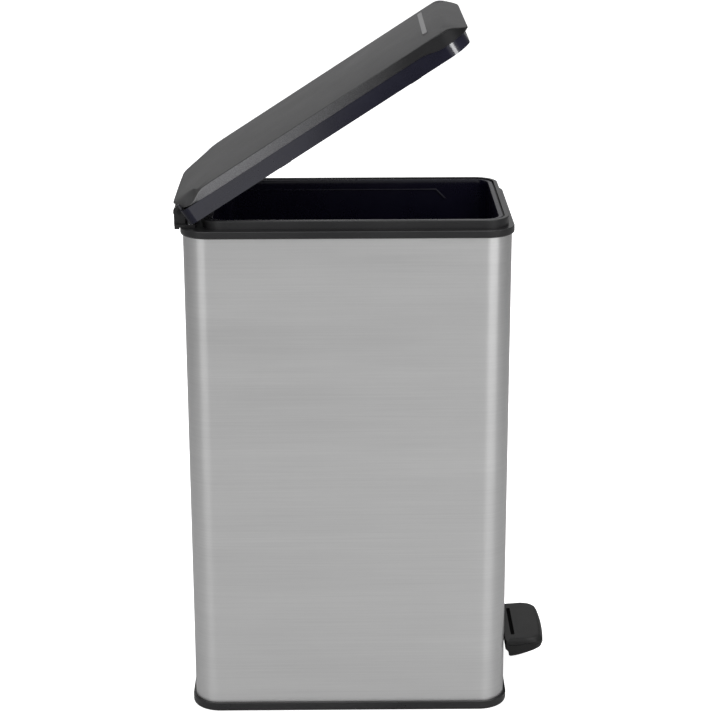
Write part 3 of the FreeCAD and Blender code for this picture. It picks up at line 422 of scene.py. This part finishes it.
def steel_shell():
    plan = outline(HALF_WIDTH, steel_low.y, steel_high.y, CORNER)
    plan[0] = Vector((-SEAM_GAP / 2, steel_high.y))
    plan.append(Vector((SEAM_GAP / 2, steel_high.y)))
    mesh = bmesh.new()
    rows = []
    for row in range(SHELL_ROWS + 1):
        height = steel_low.z + (steel_high.z - steel_low.z) * row / SHELL_ROWS
        points = []
        for x, y in plan:
            inward = Vector((-x, -y * HALF_WIDTH / steel_high.y, 0)).normalized()
            wave = noise.noise(Vector((x * 5, y * 5, height * 4))) * 0.5 + 0.5
            free = ease(row, 0, 3) * ease(row, SHELL_ROWS, SHELL_ROWS - 3)
            points.append(mesh.verts.new(Vector((x, y, height)) + inward * WAVER_MM * MM * wave * free))
        rows.append(points)
    for lower, upper in zip(rows, rows[1:]):
        for index in range(len(plan) - 1):
            mesh.faces.new((lower[index], lower[index + 1], upper[index + 1], upper[index]))
    slot_low, slot_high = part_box("slot_bezel")
    margin = 6 * MM
    edges = [(Vector((side * (slot_high.x - margin), 0, 0)), Vector((1, 0, 0))) for side in (-1, 1)]
    edges += [(Vector((0, 0, height)), Vector((0, 0, 1)))
              for height in (slot_low.z + margin, slot_high.z - margin)]
    for point, normal in edges:
        everything = mesh.verts[:] + mesh.edges[:] + mesh.faces[:]
        bmesh.ops.bisect_plane(mesh, geom=everything, plane_co=point, plane_no=normal, dist=1e-7)
    punched = []
    for face in mesh.faces:
        x, y, z = face.calc_center_median()
        inside = abs(x) < slot_high.x - margin and slot_low.z + margin < z < slot_high.z - margin
        if inside and y < 0:
            punched.append(face)
    bmesh.ops.delete(mesh, geom=punched, context="FACES")
    shell = finish_mesh("steel_shell", mesh)
    thick = shell.modifiers.new("sheet", "SOLIDIFY")
    thick.thickness = SHEET
    thick.offset = -1
    return settle(shell, "can", "outer_shell")


shell = steel_shell()
print("shell faces", len(shell.data.polygons))

# %% [markdown]
# ## Lid cover
# The cover is the can's one sculpted piece. Its top is a low dome that slopes to a thin nose at the
# front and rolls over at the back. A narrow flat face runs down each long side, dips with the nose to
# wrap the front corners, and pinches out in a scoop before it reaches the rear corners. It could be
# cut from a block with many booleans. It is easier to say what each height is at a place (x, y): the
# lower edge, the upper edge of the side face, and the dome. Rings at growing insets then read them.

# %% Heights of the cover, lid shut
EDGE_FRONT = cover_low.z
EDGE_SIDE = cover_high.z - 16 * MM
EDGE_REAR = cover_high.z - 8 * MM
TOP = cover_high.z
COVER_HALF = cover_high.x
NOSE_Y = cover_low.y
BROW_Y = cover_low.y + 22 * MM
TAIL_Y = cover_high.y
SCOOP_START, SCOOP_END = TAIL_Y - 48 * MM, TAIL_Y - 20 * MM


def dome(x, y):
    """Height of the cover's top surface."""
    crown = TOP - 3.2 * MM * abs(x / COVER_HALF) ** 2.4
    crown -= 3.4 * MM * ease(y, TAIL_Y - 70 * MM, TAIL_Y) ** 1.5
    slope = TOP - 17.5 * MM * (BROW_Y - y) / (BROW_Y - NOSE_Y)
    slope -= 1.2 * MM * abs(x / COVER_HALF) ** 2
    bend = 5 * MM
    mix = min(max(0.5 + 0.5 * (crown - slope) / bend, 0), 1)
    return crown + (slope - crown) * mix - bend * mix * (1 - mix)


def lower_edge(x, y):
    """Height of the cover's lower edge: low in front, level along the sides, high behind."""
    height = EDGE_SIDE + (EDGE_FRONT - EDGE_SIDE) * ease(y, NOSE_Y + 64 * MM, NOSE_Y + 36 * MM)
    inboard = ease(abs(x), COVER_HALF - 16 * MM, COVER_HALF - 40 * MM) * (y > 0)
    return height + (EDGE_REAR - EDGE_SIDE) * inboard


def upper_edge(x, y):
    """Height of the side face's upper edge, which falls into the scoop near the rear."""
    height = dome(x, y) - 1.0 * MM
    floor = lower_edge(x, y) + 0.4 * MM
    pinch = ease(y, SCOOP_START, SCOOP_END)
    return height + (floor - height) * pinch


# %% Lid cover
WALL = 2.5 * MM
CREASE_DEPTH = 1.3 * MM
EDGE_SLOT, PAINTED_LIP_HIGHLIGHT_SLOT = 1, 2
ROUNDED = 17.5 * MM
TOP_INSETS = (20, 25, 31, 38, 46, 55, 65, 76, 88, 101, 114, 124)
UNDER_INSETS = (124, 88, 55, 31)


def cover_plan(inset):
    """Outline of the cover moved in by inset; its corners tighten as it shrinks."""
    share = 1 - inset / COVER_HALF
    return outline(COVER_HALF - inset, NOSE_Y + inset, TAIL_Y - inset, max(36 * MM * share, 1 * MM),
                   max(54 * MM * share, 1 * MM))


def roll(x, y):
    """Width of the rounding between side face and top: tight along the side, broad at the rear."""
    return (1.6 + 13 * ease(y, SCOOP_START, SCOOP_END)) * MM


def channel(y):
    """How hollow the rounding is: a scoop between the side face's end and the rear corner."""
    share = ease(y, SCOOP_START - 6 * MM, SCOOP_END + 14 * MM)
    return 3.4 * share * (1 - share)


def lip(y):
    """How far the side face's upper edge is thickened to a lip where it falls into the scoop; there the lip's
    faces get a pale material as a painted highlight.
    """
    begins = ease(y, SCOOP_START - 8 * MM, SCOOP_START + 4 * MM)
    return begins * ease(y, SCOOP_END + 6 * MM, SCOOP_END - 4 * MM)


def mixed(first, second, share):
    return first + (second - first) * share


def crease(x, y):
    """Depth of the shadow line under the nose, fading out along the sides."""
    return CREASE_DEPTH * ease(y, NOSE_Y + 46 * MM, NOSE_Y + 26 * MM)


def follow(plan, inset_plan, share, height):
    """A ring part way between two outlines, with share and height as rules of the outer (x, y)."""
    points = []
    for outer, inner in zip(plan, inset_plan):
        where = outer.lerp(inner, share(*outer))
        points.append(Vector((where.x, where.y, height(outer, where))))
    return points


def lid_cover():
    step = 20 * MM
    edge, inner = cover_plan(0), cover_plan(step)
    lean = 1.2 * MM

    def at(inset, height):
        return follow(edge, inner, lambda x, y: inset(x, y) / step, height)

    rings = [at(lambda x, y: WALL, lambda outer, where: lower_edge(*outer)),
             at(lambda x, y: lean + 0.4 * MM, lambda outer, where: lower_edge(*outer)),
             at(lambda x, y: lean * 0.8, lambda outer, where: lower_edge(*outer) + 0.4 * MM),
             at(lambda x, y: lean * 0.5,
                lambda outer, where: (lower_edge(*outer) + upper_edge(*outer)) / 2)]
    for depth, drop in ((0, 1.7), (1, 1.5), (1, 0.5), (0, 0.2)):
        def inset(x, y, depth=depth):
            return depth * crease(x, y) + 0.1 * MM

        def height(outer, where, drop=drop):
            low, high = lower_edge(*outer), upper_edge(*outer)
            open_by = max(crease(*outer) / CREASE_DEPTH, lip(outer.y), 0.01)
            return max(high - drop * MM * open_by, low + (0.62 - 0.1 * drop) * MM)
        rings.append(at(inset, height))
    turns = 8
    for turn in range(1, turns + 1):
        angle = math.radians(90 * turn / turns)

        def inset(x, y, angle=angle):
            return roll(x, y) * mixed(1 - math.cos(angle), math.sin(angle), channel(y)) + 0.1 * MM

        def height(outer, where, angle=angle):
            high = upper_edge(*outer)
            rise = mixed(math.sin(angle), 1 - math.cos(angle), channel(outer.y))
            return high + (dome(*where) - high) * rise
        rings.append(at(inset, height))
    rings.append(at(lambda x, y: ROUNDED, lambda outer, where: dome(*where)))
    for inset in TOP_INSETS:
        rings.append(ring(cover_plan(inset * MM), dome))
    inner_rings = [ring(cover_plan(inset * MM), lambda x, y: dome(x, y) - WALL)
                   for inset in UNDER_INSETS]
    inner_rings.append(at(lambda x, y: ROUNDED, lambda outer, where: dome(*where) - WALL))
    inner_rings.append(at(lambda x, y: WALL + roll(x, y), lambda outer, where: dome(*where) - WALL))
    inner_rings.append(at(lambda x, y: WALL, lambda outer, where: max(upper_edge(*outer) - WALL,
                                                                      lower_edge(*outer) + 0.3 * MM)))
    mesh = bmesh.new()
    rows = [[mesh.verts.new(point) for point in points] for points in inner_rings + rings]
    side_rows = range(len(inner_rings) + 1, len(inner_rings) + 4)
    lip_rows = range(len(inner_rings) + 4, len(inner_rings) + 7)
    for number, (lower, upper) in enumerate(zip(rows, rows[1:])):
        for index in range(len(lower)):
            after = (index + 1) % len(lower)
            face = mesh.faces.new((lower[index], lower[after], upper[after], upper[index]))
            face.material_index = EDGE_SLOT if number in side_rows else 0
            # Painted highlight: where the lip is thick, its faces take the inlay's pale grey.
            if number in lip_rows and lip(upper[index].co.y) > 0.3:
                face.material_index = PAINTED_LIP_HIGHLIGHT_SLOT
    stitch(mesh, rows[0], flip=True)
    stitch(mesh, rows[-1])
    cover = finish_mesh("lid_cover_shell", mesh)
    cover.data.transform(OPEN)
    settle(cover, "lid", "lid_cover")
    # The side strip's finish, with painted light that is pale at the rear and dark in front.
    cover.data.materials.append(COVER_EDGE)
    # The inlay's pale grey, used on the scoop lip as a painted highlight.
    cover.data.materials.append(FINISHES["inlay"])
    return cover


cover = lid_cover()
print("cover faces", len(cover.data.polygons))

# %% [markdown]
# ## Inner bucket
# The bucket lifts out by its flange. It is a thin drafted tub with a rolled rim. It could be a block
# with a smaller block cut from it, but the rolled rim would then need a bevel of its own. Instead the
# tub is one skin from the floor up the outside, over the flange and down the inside.

# %% Inner bucket
BUCKET_FLANGE, BUCKET_WALL, BUCKET_DRAFT = 5.5 * MM, 2 * MM, 8 * MM
FLANGE_THICK = 3 * MM


def inner_bucket():
    low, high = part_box("inner_bucket")
    seat = high.z - FLANGE_THICK
    middle_height = (low.z + seat) / 2

    def plan(inset):
        return outline(high.x - inset, low.y + inset, high.y - inset, max(24 * MM - inset, 3 * MM))
    mouth = BUCKET_FLANGE - BUCKET_WALL
    foot, floor = mouth + BUCKET_DRAFT, mouth + BUCKET_WALL + BUCKET_DRAFT
    edge = 0.9 * MM
    outside = [(foot + 40 * MM, low.z), (foot + 2 * MM, low.z), (foot, low.z + 2 * MM),
               (mouth + BUCKET_DRAFT * 0.5, middle_height), (mouth, seat - 1.5 * MM)]
    flange = [(mouth - 0.4 * MM, seat), (edge * 0.3, seat), (0, seat + edge * 0.4), (0, high.z - edge),
              (edge * 0.3, high.z - edge * 0.3), (edge, high.z), (BUCKET_FLANGE - 1.6 * MM, high.z),
              (BUCKET_FLANGE - 0.5 * MM, high.z - 0.5 * MM), (BUCKET_FLANGE, high.z - 1.8 * MM)]
    inside = [(mouth + BUCKET_WALL, seat - 3 * MM),
              (mouth + BUCKET_WALL + BUCKET_DRAFT * 0.5, middle_height), (floor, low.z + 6 * MM),
              (floor + 3 * MM, low.z + 2.5 * MM), (floor + 40 * MM, low.z + 2.5 * MM)]
    rings = [ring(plan(inset), height) for inset, height in outside + flange + inside]
    return settle(skin("bucket_tub", rings), "can", "inner_bucket")


bucket = inner_bucket()
print("bucket faces", len(bucket.data.polygons))


# %% [markdown]
# ## Beads on the bucket
# A raised bead runs along each long wall just below the rim and turns down near the front, where the
# moulding's stiffening panel begins. A curve with a round bevel would draw it. Here a ring is set
# square to the line at each point, which gives plain closed geometry that any exporter can read.

# %% Beads on the bucket's long walls
BEAD_SIDES = 10
BEAD_STEPS, TURN_STEPS = 20, 5


def bead(mesh, points, radius):
    """A round bar along a line of points, closed at both ends."""
    rings = []
    side = Vector((1, 0, 0))
    for index, point in enumerate(points):
        along = (points[min(index + 1, len(points) - 1)] - points[max(index - 1, 0)]).normalized()
        up = along.cross(side).normalized()
        turns = [math.tau * step / BEAD_SIDES for step in range(BEAD_SIDES)]
        circle = [point + side * radius * math.cos(turn) + up * radius * math.sin(turn)
                  for turn in turns]
        rings.append([mesh.verts.new(spot) for spot in circle])
    for lower, upper in zip(rings, rings[1:]):
        for index in range(BEAD_SIDES):
            after = (index + 1) % BEAD_SIDES
            mesh.faces.new((lower[index], lower[after], upper[after], upper[index]))
    mesh.faces.new(rings[0][::-1])
    mesh.faces.new(rings[-1])


def bucket_beads():
    low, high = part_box("inner_bucket")
    mesh = bmesh.new()
    seat = high.z - FLANGE_THICK
    level, drop, thick = high.z - 13 * MM, 12 * MM, 1.2 * MM
    rear, turn = high.y - 40 * MM, low.y + 72 * MM
    for side in (-1, 1):
        def spot(y, z):
            draft = BUCKET_DRAFT * (seat - z) / (seat - low.z)
            return Vector((side * (high.x - BUCKET_FLANGE - draft), y, z))
        line = [spot(rear + (turn - rear) * step / BEAD_STEPS, level) for step in range(BEAD_STEPS + 1)]
        line += [spot(turn - drop * step / TURN_STEPS, level - drop * step / TURN_STEPS)
                 for step in range(1, TURN_STEPS + 1)]
        bead(mesh, line, thick)
    return settle(finish_mesh("bucket_beads", mesh), "can", None, "bucket_plastic")


beads = bucket_beads()
print("bead faces", len(beads.data.polygons))

# %% [markdown]
# ## Pedal
# The pedal is a shallow cap that a shoe presses: nearly flat on top, bowed along its outer edge, with
# round outer corners, and one wide groove near the steel that marks where the foot goes. Its skirt
# tapers towards the toe. A bevelled box would have neither the bow nor the taper. The skin starts
# under the top, goes down inside the skirt, up its outside, and ends on the groove's floor.

# %% Pedal
GROOVE_HALF, GROOVE_WIDTH, GROOVE_INSET = 42 * MM, 5 * MM, 8 * MM
GROOVE_DEPTH = 1.7 * MM
BOW = 3.5 * MM


def pedal():
    low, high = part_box("pedal_cover")
    step = 20 * MM
    wall = 2.5 * MM
    inner_edge, toe = high.y, low.y

    def bowed(y):
        return BOW * ease(y, inner_edge - 20 * MM, toe)

    def plan(inset, corner):
        points = outline(high.x - inset, toe + inset, inner_edge - inset, corner, 2.5 * MM)
        return [Vector((x, y + bowed(y) * (x / high.x) ** 2)) for x, y in points]

    def top(y):
        return high.z - 3.4 * MM + 3.4 * MM * min((inner_edge - y) / (44 * MM), 1)

    def skirt(y):
        return low.z + 9.5 * MM * ease(inner_edge - y, 5 * MM, 48 * MM)

    outer, inner = plan(0, 13 * MM), plan(step, 4 * MM)

    def at(side_inset, toe_inset, height, heel=0.0):
        def inset(x, y):
            share = ease(y, inner_edge - 26 * MM, toe + 4 * MM)
            rear = ease(y, inner_edge - 3 * MM, inner_edge - 0.5 * MM)
            return (side_inset + (toe_inset - side_inset) * share) * (1 - rear) / step
        points = follow(outer, inner, inset, lambda outer_spot, where: height(where.y))
        return [Vector((x, min(y, inner_edge - heel * MM), z)) for x, y, z in points]

    def between(share):
        return lambda y: skirt(y) + (top(y) - skirt(y)) * share

    rings = [at(wall * 3, 14 * MM, lambda y: top(y) - wall),
             at(wall, 11 * MM, lambda y: top(y) - wall - 0.5 * MM),
             at(wall, 5 * MM, between(0.45)),
             at(wall, 4.5 * MM, lambda y: skirt(y) + 0.2 * MM, 8),
             at(0.8 * MM, 3.2 * MM, skirt, 7),
             at(0.2 * MM, 2.2 * MM, lambda y: skirt(y) + 0.7 * MM, 5.4),
             at(0, 1.6 * MM, lambda y: skirt(y) + 1.8 * MM, 4.4),
             at(0, 0.5 * MM, between(0.34), 3.6), at(0, 0.3 * MM, between(0.38), 3.4),
             at(0, 0, between(0.40)), at(0, 0.1 * MM, between(0.60)),
             at(0.9 * MM, 0.9 * MM, between(0.63)), at(0, 0.8 * MM, between(0.66)),
             at(0.3 * MM, 2.4 * MM, between(0.83)), at(0.8 * MM, 4.6 * MM, between(0.94)),
             at(1.7 * MM, 7.0 * MM, between(0.99)), at(2.6 * MM, 9.0 * MM, top)]
    mark_rear = inner_edge - GROOVE_INSET
    groove = outline(GROOVE_HALF, mark_rear - GROOVE_WIDTH, mark_rear, 2.2 * MM)
    brow = rings[-1]
    for share in (0.4, 0.8):
        rings.append([Vector((x, y, top(y))) for x, y in
                      (Vector(spot[:2]).lerp(mark, share) for spot, mark in zip(brow, groove))])
    rings.append([Vector((x, y, top(y))) for x, y in groove])
    sunk = outline(41.6 * MM, mark_rear - 4.6 * MM, mark_rear - 0.4 * MM, 1.9 * MM)
    rings.append([Vector((x, y, top(y) - 0.4 * MM)) for x, y in sunk])
    rings.append([Vector((x, y, top(y) - GROOVE_DEPTH)) for x, y in sunk])
    cap = skin("pedal_cap", rings)
    settle(cap, "pedal_lever", "pedal_cover")
    # Painted shade: the groove's faces take a dull near-black material for the shade inside the recess.
    groove_painted_shade = plastic_finish("groove_painted_shade", grey(0.0008), grey(0.002), (0.80, 0.90), shine=0.05)
    cap.data.materials.append(groove_painted_shade)
    slack = 0.1 * MM
    for face in cap.data.polygons:
        x, y, z = face.center
        marked = (abs(x) < GROOVE_HALF + slack
                  and abs(mark_rear - GROOVE_WIDTH / 2 - y) < GROOVE_WIDTH / 2 + slack)
        face.material_index = int(marked and z > top(y) - GROOVE_DEPTH - 2 * slack)
    return cap


cap = pedal()
print("pedal faces", len(cap.data.polygons))

# %% [markdown]
# ## Studio
# A pale floor that goes on past the view, a large soft light at each side of the camera, one overhead
# and a weak one behind. The side lights are tall, so they draw upright bands on the steel's round
# corners. Two more lights are linked to the lid alone: a low one greys the rear of its edge, and a
# narrow strip draws the highlight on the liner's front corner. On the steel they would burn a second
# band. Floor and sky show white to the camera and are darker in reflections, so that the steel does
# not turn white. A floor that was one plain material would have to choose between the two.

# %% Floor, lights and camera
def reach_only(lamp, *pieces):
    """Let a light fall on these pieces and on nothing else."""
    reached = bpy.data.collections.new(f"{lamp.name}_reach")
    for piece in pieces:
        reached.objects.link(piece)
    lamp.light_linking.receiver_collection = reached


def soft_light(name, where, target, width, height, power):
    data = bpy.data.lights.new(name, "AREA")
    data.shape = "RECTANGLE"
    data.size, data.size_y = width, height
    data.energy = power
    lamp = bpy.data.objects.new(name, data)
    lamp.location = where
    lamp.visible_camera = False
    lamp.rotation_euler = (Vector(target) - Vector(where)).to_track_quat("-Z", "Y").to_euler()
    bpy.context.scene.collection.objects.link(lamp)
    return lamp


def studio_floor():
    mesh = bmesh.new()
    bmesh.ops.create_grid(mesh, x_segments=1, y_segments=1, size=30)
    floor = finish_mesh("studio_floor", mesh)
    made, wire = start_finish("studio_paper")
    tooth = cloud(wire, place(wire), 300.0, 2.0, 0.5)
    tone = blend_colours(wire, tooth, colour(0.90, 0.90, 0.90), colour(0.93, 0.93, 0.93))
    paper = wire.node("ShaderNodeBsdfDiffuse", None, {"Color": tone})
    shaded = wire.node("ShaderNodeBsdfDiffuse", None, {"Color": colour(0.46, 0.46, 0.46)})
    glow = wire.node("ShaderNodeEmission", None, {"Color": colour(1, 1, 1), "Strength": 0.85})
    seen = wire.node("ShaderNodeAddShader", None, {0: paper, 1: glow})
    mirrored = wire.node("ShaderNodeLightPath", out=3)
    direct = wire.node("ShaderNodeLightPath", out=0)
    both = wire.node("ShaderNodeMixShader", None, {0: mirrored, 1: paper, 2: shaded})
    both = wire.node("ShaderNodeMixShader", None, {0: direct, 1: both, 2: seen})
    wire.node("ShaderNodeOutputMaterial", None, {"Surface": both})
    floor.data.materials.append(made)
    return floor


def studio_sky():
    world = bpy.data.worlds.new("studio")
    bpy.context.scene.world = world
    world.use_nodes = True
    world.node_tree.nodes.clear()
    wire = Wire(world.node_tree)
    away = wire.node("ShaderNodeSeparateXYZ", None, {0: wire.node("ShaderNodeTexCoord")})
    level = span(wire, away, -0.9, 0.3, 0.72, 0.17)
    back = wire.node("ShaderNodeBackground", None, {"Color": colour(1, 1, 1), "Strength": level})
    seen = wire.node("ShaderNodeBackground", None, {"Color": colour(1, 1, 1), "Strength": 1.0})
    camera_ray = wire.node("ShaderNodeLightPath", out=0)
    both = wire.node("ShaderNodeMixShader", None, {0: camera_ray, 1: back, 2: seen})
    wire.node("ShaderNodeOutputWorld", None, {"Surface": both})


studio_floor()
studio_sky()
middle = Vector((0, 0, 0.4))
soft_light("key_right", (-2.2, -1.75, 1.5), middle, 2.2, 3.0, 19)
soft_light("fill_left", (-2.3, 1.9, 1.4), middle, 1.8, 3.0, 9)
low_left = soft_light("low_left", (-2.4, 0.85, 0.38), (-0.1, 0.85, 0.5), 1.6, 0.75, 10)
reach_only(low_left, cover, nodes["lid_liner"])
strip_right = soft_light("strip_right", (-1.9, -1.6, 1.0), middle, 0.6, 1.8, 110)
reach_only(strip_right, nodes["lid_liner"])
soft_light("overhead", (-0.2, 0, 3.4), (0, 0, 0), 4.0, 4.0, 95)
soft_light("behind", (3.2, 0.5, 1.5), (0, 0, 0.7), 4.0, 1.5, 8)

camera_data = bpy.data.cameras.new("camera")
camera_data.sensor_width = 36
camera_data.lens = 100
camera_data.clip_end = 60
camera = bpy.data.objects.new("camera", camera_data)
bpy.context.scene.collection.objects.link(camera)
bpy.context.scene.camera = camera
PITCH, SWING_SIDE, DISTANCE, ROLL = 0.304, -0.0085, 2.5782, -0.0029
aim = Vector((0, -0.0155, 0.4335))
ahead = Vector((math.cos(PITCH) * math.cos(SWING_SIDE), math.cos(PITCH) * math.sin(SWING_SIDE),
                -math.sin(PITCH)))
camera.location = aim - ahead * DISTANCE
camera.rotation_euler = ahead.to_track_quat("-Z", "Y").to_euler()
camera.rotation_euler.rotate_axis("Z", ROLL)
bpy.context.scene.view_settings.view_transform = "Standard"
bpy.context.scene.view_settings.look = "None"
